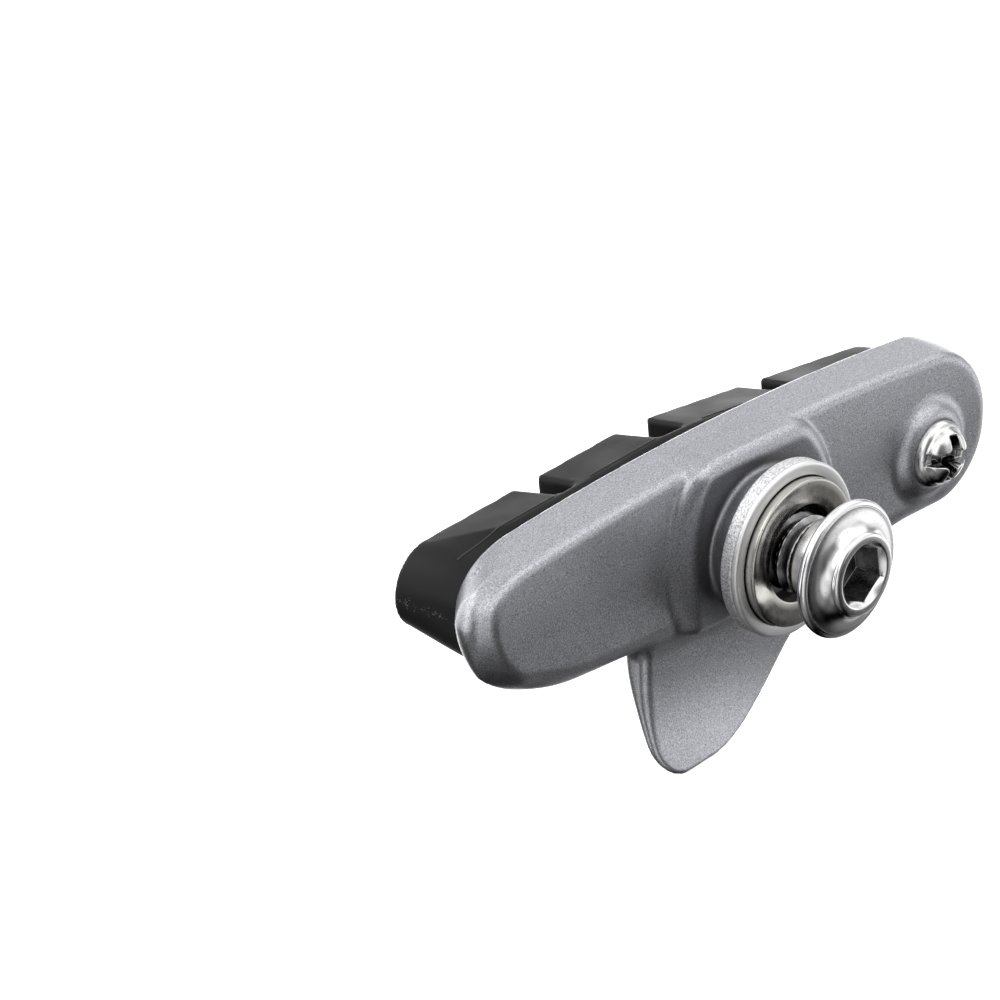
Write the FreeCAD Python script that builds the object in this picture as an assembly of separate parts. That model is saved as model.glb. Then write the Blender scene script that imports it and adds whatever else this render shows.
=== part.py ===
import FreeCAD, Part
import math
import os

from FreeCAD import Vector

# Road bicycle rim brake shoe: a cast holder, a slide-in rubber insert, the mounting bolt with
# its convex washer, and the small screw that keeps the insert in. Millimetres.
# X runs along the rim, towards the open end of the holder. +Y points at the rim, +Z away from
# the wheel's hub. The origin is on the bolt axis, in the washer's flat face, where the brake
# arm sits.

# Rubber insert
insert_length = 55.0
insert_middle_x = 0.7
arm_to_rim_face = 15.6
insert_stand_out = 5.9
face_crest_x = -1.0
face_crest_height = 5.95
face_left_drop = 1.65
face_right_drop = 2.7
face_bottom = -2.45
face_bottom_left_rise = 1.05
face_bottom_right_rise = 0.35
face_corner_radii = (3.0, 2.6, 2.2, 2.4)
face_crest_radius = 12.0
face_bottom_radius = 60.0
side_flare = 0.95
flare_depth = 3.5
bottom_flare = 0.3
slot_depth = 3.6
slot_lean = 6.0
slot_draft = 0.25
slots = ((-12.4, 2.5), (-0.8, 3.4), (12.5, 2.4))
insert_clearance = 0.12

# Channel in the holder, and the tongue on the insert
channel_depth = 2.3
channel_crest = 6.45
channel_bottom = -3.1
channel_end_inset = 0.25
channel_corner_radii = (2.4, 4.0, 3.0, 3.0)
channel_runout = 8.0
groove_reach = 0.5
groove_height = 1.2

# How the shoe's outline bends: corners stand this far below or above its crest and bottom
left_shoulder_drop = 2.45
crest_rise = 1.3
right_shoulder_drop = 1.3
crest_bend_radius = 165.0
bottom_sag = 0.2
bottom_right_rise = 0.1
bottom_bend_radius = 400.0
wall_left_straight = 0.02

# Cast shell
shell_depth = 4.6
widest_depth = 2.1
shell_crest = 7.95
shell_bottom = -6.1
bottom_left_rise = 1.0
nose_length = 3.35
tail_length = 0.25
rim_inset = 0.2
rim_bottom_inset = 1.1
rim_nose_inset = 2.95
back_inset = 0.55
back_bottom_inset = 1.1
back_nose_inset = 4.0
back_tail_inset = 1.0
back_edge_radius = 1.6
rim_edge_radius = 0.5
widest_radius = 1.2
widest_share_of_wall = 0.5
edge_share_of_wall = 0.64
rim_corner_radii = (2.6, 6.0, 4.4, 6.2)
widest_corner_radii = (3.0, 6.6, 4.8, 7.4)
back_corner_radii = (3.2, 6.2, 4.4, 5.8)

# Boss for the bolt, with its turned ring and cup
ring_radius = 6.7
ring_front = 0.77
ring_length = 1.55
neck_radius = 5.8
boss_rise = 0.75
boss_left = 6.6
boss_left_slope = 2.4
boss_right = 8.8
boss_right_slope = 0.4
boss_top = 7.0
boss_top_slope = 0.3
boss_bottom = -5.8
boss_left_radius = 1.2
boss_right_radius = 6.2

# Convex washer
washer_radius = 5.65
washer_edge = 1.0
washer_bore = 7.4
washer_chamfer = 0.15
ball_radius = 9.0
ball_clearance = 0.03

# Mounting bolt
thread_diameter = 6.0
thread_clearance = 0.04
shoulder_diameter = 6.5
shoulder_length = 2.6
arm_gap = 3.6
flange_diameter = 10.5
flange_thickness = 0.8
flange_lip = 0.3
flange_flat = 0.45
collar_foot = 0.8
collar_diameter = 6.1
collar_height = 1.4
socket_sides = 6
socket_across_flats = 4.0
socket_depth = 2.6
socket_turn = 22.5
bolt_end_gap = 1.2
bolt_end_chamfer = 0.5

# Insert screw
screw_from_end = 7.6
screw_z = -0.4
screw_boss_radius = 4.1
screw_boss_height = 0.8
screw_boss_taper = 0.7
screw_thread_diameter = 3.0
screw_head_diameter = 5.1
screw_head_height = 1.9
screw_dome_height = 1.05
screw_head_clearance = 0.15
screw_seat = 0.25
cross_width = 1.0
cross_reach = 3.2
cross_depth = 1.3
cross_turn = 20.0
screw_bite = 1.1
screw_tip_chamfer = 0.4
screw_hole_clearance = 0.25
screw_tip_gap = 0.4

# Wheel guide fin
fin_front = -9.9
fin_bottom = -16.45
fin_front_radius = 2.6
fin_heel_x = -1.6
fin_heel_radius = 12.0
fin_rise_x = 6.4
fin_rise_z = -9.9
fin_rise_radius = 16.0
fin_tail_x = 17.0
fin_root_y = 7.5
fin_root_thickness = 1.9
fin_tip_thickness = 1.1
fin_bend_start = -7.0
fin_bend = 0.033
fin_bend_front = -12.0
fin_bend_length = 28.0
fin_root_overlap = 1.5
fin_tail_overlap = 0.4
fin_corner_radius = 0.2

# How far cutters and joints run past the faces they start from
overrun = 1.0
joint_overlap = 0.5

# Places that follow from these sizes
insert_left = insert_middle_x - insert_length / 2
insert_right = insert_middle_x + insert_length / 2
screw_x = insert_right - screw_from_end
rim_y = arm_to_rim_face - insert_stand_out
back_y = rim_y - shell_depth
floor_y = rim_y - channel_depth
widest_y = rim_y - widest_depth
ring_back = ring_front + ring_length
ball_centre_y = washer_edge - math.sqrt(ball_radius ** 2 - washer_radius ** 2)
flange_back = -arm_gap
flange_front = flange_back - flange_thickness
screw_boss_face = back_y - screw_boss_height
screw_seat_y = screw_boss_face + screw_seat

axis_y = Vector(0, 1, 0)


def fitted_reaches(points, reaches):
    """Where two corners would meet on a wall, the gentler one gives way and leaves it straight."""
    count = len(points)
    fitted = list(reaches)
    for i in range(count):
        for j in (i - 1, (i + 1) % count):
            room = (points[i] - points[j]).Length * (1 - wall_left_straight)
            if reaches[i] >= reaches[j]:
                fitted[i] = min(fitted[i], room - reaches[j])
    return fitted


def rounded_outline(corners, y):
    """Closed wire in the plane at y, through (x, z, radius) corners, each rounded by an arc."""
    count = len(corners)
    points = [Vector(x, y, z) for x, z, radius in corners]
    half_angles = []
    reaches = []
    for i in range(count):
        before = points[i - 1] - points[i]
        after = points[(i + 1) % count] - points[i]
        half_angles.append(before.getAngle(after) / 2)
        reaches.append(corners[i][2] / math.tan(half_angles[i]))
    reaches = fitted_reaches(points, reaches)
    starts = []
    arcs = []
    ends = []
    for i in range(count):
        corner = points[i]
        before = points[i - 1] - corner
        after = points[(i + 1) % count] - corner
        radius = reaches[i] * math.tan(half_angles[i])
        before.normalize()
        after.normalize()
        inward = before + after
        inward.normalize()
        starts.append(corner + before * reaches[i])
        ends.append(corner + after * reaches[i])
        arcs.append(corner + inward * (radius / math.sin(half_angles[i]) - radius))
    edges = []
    for i in range(count):
        edges.append(Part.Arc(starts[i], arcs[i], ends[i]).toShape())
        edges.append(Part.LineSegment(ends[i], starts[(i + 1) % count]).toShape())
    return Part.Wire(edges)


def banana(left, right, crest, bottom, radii, y, bottom_left=bottom_right_rise):
    """Outline of the shoe at one depth: a long arc on top, a nearly straight bottom, round ends."""
    top_left, top_right, bottom_right, bottom_left_radius = radii
    corners = (
        (left, crest - left_shoulder_drop, top_left),
        (0.0, crest + crest_rise, crest_bend_radius),
        (right, crest - right_shoulder_drop, top_right),
        (right, bottom + bottom_right_rise, bottom_right),
        (0.0, bottom - bottom_sag, bottom_bend_radius),
        (left, bottom + bottom_left, bottom_left_radius),
    )
    return rounded_outline(corners, y)


def prism(wire, y_end):
    """Solid between a flat outline and the plane at y_end."""
    y_start = wire.Vertexes[0].Point.y
    return Part.Face(wire).extrude(Vector(0, y_end - y_start, 0))


def turned(profile):
    """Solid turned about the bolt axis from (radius, y) points."""
    points = [Vector(radius, y, 0) for radius, y in profile]
    points.append(points[0])
    face = Part.Face(Part.makePolygon(points))
    return face.revolve(Vector(0, 0, 0), axis_y, 360)


def rod(diameter, y_start, y_end, x=0.0, z=0.0):
    """Round bar along Y."""
    return Part.makeCylinder(diameter / 2, y_end - y_start, Vector(x, y_start, z), axis_y)


def edges_at(shape, y, tolerance=0.01):
    """Edges of a shape that lie wholly in the plane at y."""
    found = []
    for edge in shape.Edges:
        if all(abs(vertex.Point.y - y) < tolerance for vertex in edge.Vertexes):
            found.append(edge)
    return found


def channel_outline(growth, y, runout=0.0):
    """Outline of the channel at one depth, grown by a margin; its right end stays at the rubber's."""
    return banana(
        insert_left + channel_end_inset - growth,
        insert_right + runout,
        channel_crest + growth,
        channel_bottom - growth,
        [radius + growth for radius in channel_corner_radii],
        y,
    )


def shell():
    """Cast shell without its boss and fin: a nose closed at the left, lofted over three depths."""
    widest_left = insert_left - nose_length
    widest_right = insert_right + tail_length
    rim = banana(
        widest_left + rim_nose_inset,
        widest_right - rim_inset,
        shell_crest - rim_inset,
        shell_bottom + rim_bottom_inset,
        rim_corner_radii,
        rim_y,
        bottom_left_rise,
    )
    widest = banana(
        widest_left,
        widest_right,
        shell_crest,
        shell_bottom,
        widest_corner_radii,
        widest_y,
        bottom_left_rise,
    )
    back = banana(
        widest_left + back_nose_inset,
        widest_right - back_tail_inset,
        shell_crest - back_inset,
        shell_bottom + back_bottom_inset,
        back_corner_radii,
        back_y,
        bottom_left_rise,
    )
    body = Part.makeLoft([rim, widest, back], True, True)
    rim_room = edge_share_of_wall * (rim_y - widest_y)
    widest_room = widest_share_of_wall * (widest_y - back_y)
    back_room = edge_share_of_wall * (widest_y - back_y)
    body = body.makeFillet(min(rim_edge_radius, rim_room), edges_at(body, rim_y))
    body = body.makeFillet(min(widest_radius, widest_room), edges_at(body, widest_y))
    return body.makeFillet(min(back_edge_radius, back_room), edges_at(body, back_y))


def boss_outline(slope, y):
    """Outline of the boss's pad; the slopes widen it from its face (0) to its foot (1)."""
    left = -boss_left - slope * boss_left_slope
    right = boss_right + slope * boss_right_slope
    top = boss_top + slope * boss_top_slope
    return rounded_outline(
        (
            (left, top, boss_left_radius),
            (right, top, boss_right_radius),
            (right, boss_bottom, boss_right_radius),
            (left, boss_bottom, boss_left_radius),
        ),
        y,
    )


def boss():
    """Boss for the bolt: a low pad on the shell's back, a neck and a turned ring."""
    foot = prism(boss_outline(1.0, back_y), back_y + shell_depth / 2)
    pad = Part.makeLoft([boss_outline(1.0, back_y), boss_outline(0.0, back_y - boss_rise)], True)
    neck = rod(2 * neck_radius, ring_front, back_y + joint_overlap)
    ring = rod(2 * ring_radius, ring_front, ring_back)
    return foot.fuse(pad).fuse(neck).fuse(ring)


def fin_section(x):
    """Section of the guide at x: a sheet that bends away from the rim as it goes down."""
    along = min(1.0, max(0.0, (x - fin_bend_front) / fin_bend_length))
    bend = fin_bend * (1.0 + math.cos(math.pi * along)) / 2
    root_half = fin_root_thickness / 2
    tip_half = fin_tip_thickness / 2
    heights = (
        shell_bottom + fin_root_overlap,
        (fin_bend_start + fin_bottom) / 2,
        fin_bottom - overrun,
    )
    halves = (root_half, (root_half + tip_half) / 2, tip_half)
    outer = []
    inner = []
    for z, half in zip(heights, halves):
        below = max(0.0, fin_bend_start - z)
        middle = fin_root_y - bend * below ** 2
        outer.append(Vector(x, middle - half, z))
        inner.append(Vector(x, middle + half, z))
    edges = [
        Part.Arc(*outer).toShape(),
        Part.LineSegment(outer[2], inner[2]).toShape(),
        Part.Arc(inner[2], inner[1], inner[0]).toShape(),
        Part.LineSegment(inner[0], outer[0]).toShape(),
    ]
    return Part.Wire(edges)


def fin():
    """Wheel guide: a bent sheet trimmed to its outline, with rounded edges."""
    spacing = 4.0
    start = fin_bend_front - spacing
    count = math.ceil((fin_tail_x + overrun - start) / spacing) + 1
    sheet = Part.makeLoft([fin_section(start + spacing * i) for i in range(count)], True, False)
    root_z = shell_bottom + fin_root_overlap
    outline = rounded_outline(
        (
            (fin_front, root_z, fin_corner_radius),
            (fin_tail_x, root_z, fin_corner_radius),
            (fin_tail_x, shell_bottom + fin_tail_overlap, fin_corner_radius),
            (fin_rise_x, fin_rise_z, fin_rise_radius),
            (fin_heel_x, fin_bottom, fin_heel_radius),
            (fin_front, fin_bottom, fin_front_radius),
        ),
        ring_front,
    )
    return sheet.common(prism(outline, rim_y))


def ball(clearance):
    """Ball that the washer's back and the boss's cup share."""
    return Part.makeSphere(ball_radius + clearance, Vector(0, ball_centre_y, 0))


def shoe_holder():
    """One casting: shell, boss, screw boss and fin, with the channel, cup and holes cut in."""
    body = shell().fuse(boss())
    screw_boss = Part.makeCone(
        screw_boss_radius - screw_boss_taper,
        screw_boss_radius,
        screw_boss_height + joint_overlap,
        Vector(screw_x, screw_boss_face, screw_z),
        axis_y,
    )
    body = body.fuse(screw_boss)
    body = body.fuse(fin())
    mouth = prism(channel_outline(0.0, floor_y, channel_runout), rim_y + overrun)
    groove_outline = channel_outline(groove_reach, floor_y, channel_runout)
    body = body.cut(mouth.fuse(prism(groove_outline, floor_y + groove_height)))
    body = body.cut(ball(ball_clearance))
    body = body.cut(rod(thread_diameter + 2 * thread_clearance, ring_front - overrun, rim_y))
    screw_hole = screw_thread_diameter + 2 * thread_clearance
    screw_start = screw_boss_face - overrun
    body = body.cut(rod(screw_hole, screw_start, rim_y, screw_x, screw_z))
    recess = screw_head_diameter + 2 * screw_head_clearance
    body = body.cut(rod(recess, screw_start, screw_seat_y, screw_x, screw_z))
    return body.removeSplitter()


def face_outline(growth, y):
    """Outline of the rubber at one depth: two straight runs on top that meet at the middle slot."""
    left = insert_left
    right = insert_right
    top_left, top_right, bottom_right, bottom_left = face_corner_radii
    left_top = face_crest_height - face_left_drop + growth
    right_top = face_crest_height - face_right_drop + growth
    bottom = face_bottom - growth * bottom_flare
    return rounded_outline(
        (
            (left, left_top, top_left + growth),
            (face_crest_x, face_crest_height + growth, face_crest_radius),
            (right, right_top, top_right + growth),
            (right, bottom + face_bottom_right_rise, bottom_right + growth),
            (insert_middle_x, bottom, face_bottom_radius),
            (left, bottom + face_bottom_left_rise, bottom_left + growth),
        ),
        y,
    )


def brake_pad():
    """One moulded rubber insert: four blocks on a strip, with a tongue that fills the channel."""
    flare_y = arm_to_rim_face - flare_depth
    face = face_outline(0.0, arm_to_rim_face)
    flare = face_outline(side_flare, flare_y)
    neck = channel_outline(-insert_clearance, rim_y)
    stem = channel_outline(-insert_clearance, floor_y + insert_clearance)
    body = Part.makeLoft([face, flare, neck, stem], True, True)
    tongue = prism(
        channel_outline(groove_reach - insert_clearance, floor_y + insert_clearance),
        floor_y + groove_height - insert_clearance,
    )
    body = body.fuse(tongue)
    for x, width in slots:
        body = body.cut(slot_cutter(x, width))
    hole = rod(
        screw_thread_diameter + 2 * screw_hole_clearance,
        floor_y - overrun,
        floor_y + screw_bite + screw_tip_gap,
        screw_x,
        screw_z,
    )
    return body.cut(hole).removeSplitter()


def slot_cutter(x, width):
    """Wedge that cuts one slot: wider at the face, leaning along the rim, rounded at its floor."""
    floor = arm_to_rim_face - slot_depth
    top = arm_to_rim_face + overrun
    half_floor = width / 2 - slot_draft
    half_top = width / 2
    tall = insert_length
    points = [
        Vector(x - half_top, top, -tall / 2),
        Vector(x - half_floor, floor + half_floor / 2, -tall / 2),
        Vector(x, floor, -tall / 2),
        Vector(x + half_floor, floor + half_floor / 2, -tall / 2),
        Vector(x + half_top, top, -tall / 2),
    ]
    edges = [
        Part.LineSegment(points[0], points[1]).toShape(),
        Part.Arc(points[1], points[2], points[3]).toShape(),
        Part.LineSegment(points[3], points[4]).toShape(),
        Part.LineSegment(points[4], points[0]).toShape(),
    ]
    cutter = Part.Face(Part.Wire(edges)).extrude(Vector(0, 0, tall))
    middle_z = (face_crest_height + face_bottom) / 2
    cutter.rotate(Vector(x, 0, 0), axis_y, slot_lean)
    cutter.translate(Vector(0, 0, middle_z))
    return cutter


def convex_washer():
    """Flat towards the arm, ball-shaped towards the boss, with a wide bore so it can tilt."""
    disc = rod(2 * washer_radius, 0.0, ball_radius)
    disc = disc.makeChamfer(washer_chamfer, edges_at(disc, 0.0))
    body = disc.common(ball(0.0))
    return body.cut(rod(washer_bore, -overrun, ball_radius))


def mounting_bolt():
    """Flanged cap bolt: thin flange, raised collar round a hexagon socket, threaded shank."""
    rim = flange_diameter / 2
    collar = collar_diameter / 2
    collar_front = flange_front - collar_height
    head = turned(
        (
            (0.0, flange_back),
            (rim - flange_lip, flange_back),
            (rim, flange_back - flange_lip),
            (rim, flange_front + flange_lip / 2),
            (rim - flange_lip, flange_front),
            (rim - flange_lip - flange_flat, flange_front),
            (collar + collar_foot, flange_front - flange_lip),
            (collar + flange_lip / 3, flange_front - collar_height / 2),
            (collar, collar_front + flange_lip),
            (collar - flange_lip, collar_front),
            (0.0, collar_front),
        )
    )
    shank_end = floor_y - bolt_end_gap
    shoulder = rod(shoulder_diameter, flange_back, flange_back + shoulder_length)
    shank = rod(thread_diameter, flange_back, shank_end)
    shank = shank.makeChamfer(bolt_end_chamfer, edges_at(shank, shank_end))
    body = head.fuse(shoulder).fuse(shank)
    corner_radius = socket_across_flats / 2 / math.cos(math.pi / socket_sides)
    socket_start = collar_front - overrun
    corners = []
    for i in range(socket_sides + 1):
        angle = 2 * math.pi * i / socket_sides + math.radians(socket_turn)
        side = corner_radius * math.cos(angle)
        height = corner_radius * math.sin(angle)
        corners.append(Vector(side, socket_start, height))
    socket = Part.Face(Part.makePolygon(corners)).extrude(Vector(0, socket_depth + overrun, 0))
    return body.cut(socket).removeSplitter()


def pad_fixing_screw():
    """Small pan-head screw with a cross recess; its tip sits in a hole in the rubber."""
    head_front = screw_seat_y - screw_head_height
    head_radius = screw_head_diameter / 2
    dome_radius = (head_radius ** 2 + screw_dome_height ** 2) / (2 * screw_dome_height)
    dome = Part.makeSphere(dome_radius, Vector(screw_x, head_front + dome_radius, screw_z))
    head = rod(screw_head_diameter, head_front - overrun, screw_seat_y, screw_x, screw_z)
    head = head.common(dome)
    tip_y = floor_y + screw_bite
    shank = rod(screw_thread_diameter, screw_seat_y - joint_overlap, tip_y, screw_x, screw_z)
    shank = shank.makeChamfer(screw_tip_chamfer, edges_at(shank, tip_y))
    body = head.fuse(shank)
    for length, width in ((cross_reach, cross_width), (cross_width, cross_reach)):
        bar = Part.makeBox(
            length,
            cross_depth + overrun,
            width,
            Vector(screw_x - length / 2, head_front - overrun, screw_z - width / 2),
        )
        bar.rotate(Vector(screw_x, 0, screw_z), axis_y, cross_turn)
        body = body.cut(bar)
    return body.removeSplitter()


def main():
    os.makedirs("parts", exist_ok=True)
    pieces = {
        "shoe_holder": shoe_holder(),
        "brake_pad": brake_pad(),
        "convex_washer": convex_washer(),
        "mounting_bolt": mounting_bolt(),
        "pad_fixing_screw": pad_fixing_screw(),
    }
    for name, shape in pieces.items():
        solids = shape.Solids
        if len(solids) == 1:
            shape = solids[0]
        shape.exportStep("parts/" + name + ".step")
        box = shape.BoundBox
        print(
            "%-17s solids %d valid %s volume %.0f x %.1f..%.1f y %.1f..%.1f z %.1f..%.1f"
            % (name, len(solids), shape.isValid(), shape.Volume, box.XMin, box.XMax,
               box.YMin, box.YMax, box.ZMin, box.ZMax)
        )


main()
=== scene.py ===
# %% [markdown]
# # A road brake shoe for a rim brake
# The real thing is a cast aluminium holder with a rubber insert slid into it, held by a small
# screw. A flanged bolt and a washer with a ball-shaped back clamp it to the brake arm.
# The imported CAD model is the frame. Its solids give every size; here they get their finish.
# Sizes below are written in millimetres, because that is how such a part is drawn, and are
# turned into metres when a mesh is made.

# %% Load the frame
import math

import bpy
import numpy as np
from mathutils import Matrix, Vector


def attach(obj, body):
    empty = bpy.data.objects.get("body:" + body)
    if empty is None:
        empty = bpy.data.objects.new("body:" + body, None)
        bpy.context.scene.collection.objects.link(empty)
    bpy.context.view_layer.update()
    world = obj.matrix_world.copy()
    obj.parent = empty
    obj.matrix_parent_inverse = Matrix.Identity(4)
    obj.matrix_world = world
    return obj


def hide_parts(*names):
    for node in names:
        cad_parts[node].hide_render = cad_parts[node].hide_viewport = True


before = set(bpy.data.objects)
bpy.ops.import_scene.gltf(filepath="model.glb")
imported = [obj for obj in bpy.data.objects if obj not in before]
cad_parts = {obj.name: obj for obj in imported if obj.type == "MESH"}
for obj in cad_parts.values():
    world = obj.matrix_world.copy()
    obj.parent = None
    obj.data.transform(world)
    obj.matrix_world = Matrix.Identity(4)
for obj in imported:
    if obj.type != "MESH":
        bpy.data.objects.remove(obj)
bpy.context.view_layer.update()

MM = 0.001

# %% [markdown]
# ## Camera
# The photograph was taken from the left, in front and above, with a long lens: lines that run
# away hardly converge. The camera stands where the outlines of the real shoe fall on the same
# places in a square picture. A matrix made of right, up and backwards is the plainest way to
# set it, because it leaves no angle order to guess.

# %% Camera
CAMERA_PLACE = (-352.88, -294.08, 217.68)
CAMERA_HEADING = math.radians(47.454)
CAMERA_DIP = math.radians(24.911)
CAMERA_ROLL = math.radians(-0.770)
SENSOR_WIDTH = 36.0
LENS = 252.0


def camera_matrix():
    """World matrix of the camera: columns are right, up, backwards and place."""
    forward = Vector((
        math.sin(CAMERA_HEADING) * math.cos(CAMERA_DIP),
        math.cos(CAMERA_HEADING) * math.cos(CAMERA_DIP),
        -math.sin(CAMERA_DIP),
    ))
    level = Vector((math.cos(CAMERA_HEADING), -math.sin(CAMERA_HEADING), 0.0))
    upright = level.cross(forward)
    right = level * math.cos(CAMERA_ROLL) + upright * math.sin(CAMERA_ROLL)
    up = upright * math.cos(CAMERA_ROLL) - level * math.sin(CAMERA_ROLL)
    matrix = Matrix.Identity(4)
    for row in range(3):
        matrix[row][0] = right[row]
        matrix[row][1] = up[row]
        matrix[row][2] = -forward[row]
        matrix[row][3] = CAMERA_PLACE[row] * MM
    return matrix


camera_data = bpy.data.cameras.new("camera")
camera_data.lens = LENS
camera_data.sensor_width = SENSOR_WIDTH
camera_data.clip_start = 0.01
camera_data.clip_end = 20.0
camera = bpy.data.objects.new("camera", camera_data)
bpy.context.scene.collection.objects.link(camera)
camera.matrix_world = camera_matrix()
bpy.context.scene.camera = camera
print("camera at", [round(v, 4) for v in camera.matrix_world.translation])

# %% [markdown]
# ## Rounded shapes from distance rules
# The casting has no hard corners: every wall runs into the next through a fillet. Cutting and
# filleting meshes one after another breaks easily, so each shape is written as a rule that
# says how far a point lies outside it (below zero is inside). Two rules are joined, cut or
# blended with a radius, and a skin is then drawn where the rule is zero.

# %% Rules for joining and cutting
def round_both(a, b, radius):
    """Inside both shapes, with their edge rounded to a radius; for walls at right angles."""
    over = np.hypot(np.maximum(a + radius, 0.0), np.maximum(b + radius, 0.0))
    return np.minimum(-radius, np.maximum(a, b)) + over


def round_bent(a, b, radius, alike):
    """The same for walls that lean together: alike is the cosine between their directions."""
    a_over = a + radius
    b_over = b + radius
    spread = 1.0 - alike * alike
    square = (a_over ** 2 + b_over ** 2 - 2.0 * alike * a_over * b_over) / spread
    on_edge = (a_over > alike * b_over) & (b_over > alike * a_over)
    return np.where(on_edge, np.sqrt(np.maximum(square, 0.0)) - radius, np.maximum(a, b))


def round_either(a, b, radius):
    """Inside either shape, with the corner between them filled to a radius."""
    over = np.hypot(np.maximum(radius - a, 0.0), np.maximum(radius - b, 0.0))
    return np.maximum(radius, np.minimum(a, b)) - over


def soft_either(a, b, reach):
    """Inside either shape, with a softer blend that starts a reach before they meet."""
    near = np.maximum(reach - np.abs(a - b), 0.0) / reach
    return np.minimum(a, b) - near * near * reach / 4.0


def ramp(value, start, end):
    """0 before start, 1 after end, smooth between."""
    t = np.clip((value - start) / (end - start), 0.0, 1.0)
    return t * t * (3.0 - 2.0 * t)


# %% [markdown]
# ## A skin over a rule
# The space is cut into small cubes. Each cube that the surface crosses gets one point, at the
# middle of the crossings on its edges, and points of neighbouring cubes are joined by quads.
# A few steps along the rule's slope then pull every point exactly onto the surface, which
# makes the shading as clean as on a turned part.

# %% Draw a skin
CUBE_CORNERS = np.array([(i, j, k) for i in (0, 1) for j in (0, 1) for k in (0, 1)])
CUBE_EDGES = [
    (a, b) for a in range(8) for b in range(a + 1, 8)
    if np.abs(CUBE_CORNERS[a] - CUBE_CORNERS[b]).sum() == 1
]


def slope(rule, points, gap=0.01):
    """Direction in which a rule grows fastest, by small differences."""
    grown = []
    for axis in range(3):
        step = np.zeros(3)
        step[axis] = gap
        ahead = points + step
        behind = points - step
        grown.append((rule(*ahead.T) - rule(*behind.T)) / (2.0 * gap))
    return np.stack(grown, axis=1)


def pull_to_surface(rule, points, longest):
    """One step along the slope, capped so that no point jumps."""
    gradient = slope(rule, points)
    size = np.maximum((gradient ** 2).sum(axis=1), 0.05)
    move = -(rule(*points.T) / size)[:, None] * gradient
    length = np.linalg.norm(move, axis=1)
    cap = np.minimum(1.0, longest / np.maximum(length, 1e-9))
    return points + move * cap[:, None]


def skin(rule, low, high, step, rounds=3):
    """Points and quads of the surface where a rule is zero, in millimetres."""
    axes = [np.arange(low[i], high[i] + step, step) for i in range(3)]
    grid = np.meshgrid(*axes, indexing="ij")
    values = rule(*[g.ravel() for g in grid]).reshape(grid[0].shape)
    inside = values < 0.0
    cells = np.zeros(tuple(n - 1 for n in values.shape), int)
    for i, j, k in CUBE_CORNERS:
        ends = [n - 1 + c for n, c in zip(values.shape, (i, j, k))]
        cells += inside[i:ends[0], j:ends[1], k:ends[2]]
    active = np.argwhere((cells > 0) & (cells < 8))
    corner = values[tuple((active[:, None, :] + CUBE_CORNERS[None]).transpose(2, 0, 1))]
    total = np.zeros((len(active), 3))
    count = np.zeros(len(active))
    for a, b in CUBE_EDGES:
        crossed = (corner[:, a] < 0.0) != (corner[:, b] < 0.0)
        share = corner[crossed, a] / (corner[crossed, a] - corner[crossed, b])
        start = CUBE_CORNERS[a] + 0.0
        way = CUBE_CORNERS[b] - CUBE_CORNERS[a]
        total[crossed] += start + share[:, None] * way
        count[crossed] += 1
    points = (active + total / count[:, None]) * step + np.array([a[0] for a in axes])
    index = -np.ones(cells.shape, int)
    index[tuple(active.T)] = np.arange(len(active))
    quads = grid_quads(inside, index)
    for turn in range(rounds):
        points = relax(points, quads)
        points = pull_to_surface(rule, points, step)
    return pull_to_surface(rule, points, step), quads


def grid_quads(inside, index):
    """One quad round each grid edge whose ends lie on different sides."""
    found = []
    for axis in range(3):
        order = [axis, (axis + 1) % 3, (axis + 2) % 3]
        turned = inside.transpose(order)
        cell = index.transpose(order)
        start = turned[:-1, 1:-1, 1:-1]
        end = turned[1:, 1:-1, 1:-1]
        for crossed, flip in ((start & ~end, False), (~start & end, True)):
            i, j, k = np.nonzero(crossed)
            ring = [cell[i, j, k], cell[i, j + 1, k], cell[i, j + 1, k + 1], cell[i, j, k + 1]]
            if flip:
                ring.reverse()
            found.append(np.stack(ring, axis=1))
    return np.concatenate(found)


def relax(points, quads):
    """Moves each point half way to the middle of its neighbours."""
    total = np.zeros_like(points)
    count = np.zeros(len(points))
    for a, b in ((0, 1), (1, 2), (2, 3), (3, 0)):
        for c, d in ((a, b), (b, a)):
            np.add.at(total, quads[:, c], points[quads[:, d]])
            np.add.at(count, quads[:, c], 1)
    return (points + total / np.maximum(count, 1)[:, None]) / 2.0


# %% Make a piece of the object
PIECES = {}


def keep_piece(name, mesh, node, slot):
    """A finished mesh as a piece at the origin, which stands for a CAD node."""
    piece = bpy.data.objects.new(name, mesh)
    bpy.context.scene.collection.objects.link(piece)
    PIECES[name] = (piece, node, slot)
    print(name, len(mesh.vertices), "points", len(mesh.polygons), "faces")


def add_piece(name, points, faces, node, slot):
    """The same from points in millimetres and faces, smoothly shaded."""
    mesh = bpy.data.meshes.new(name)
    mesh.from_pydata((np.asarray(points) * MM).tolist(), [], [list(f) for f in faces])
    mesh.validate()
    mesh.polygons.foreach_set("use_smooth", [True] * len(mesh.polygons))
    keep_piece(name, mesh, node, slot)


# %% [markdown]
# ## The holder's shell
# Seen from behind, the shell is a long bar with a gently arched top and round ends. It is
# widest a little behind the rim side, closed and bevelled at the left end, and its back edge
# is rounded, more so along the bottom. Four walls with those insets, rounded where they meet,
# say all that.

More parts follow.
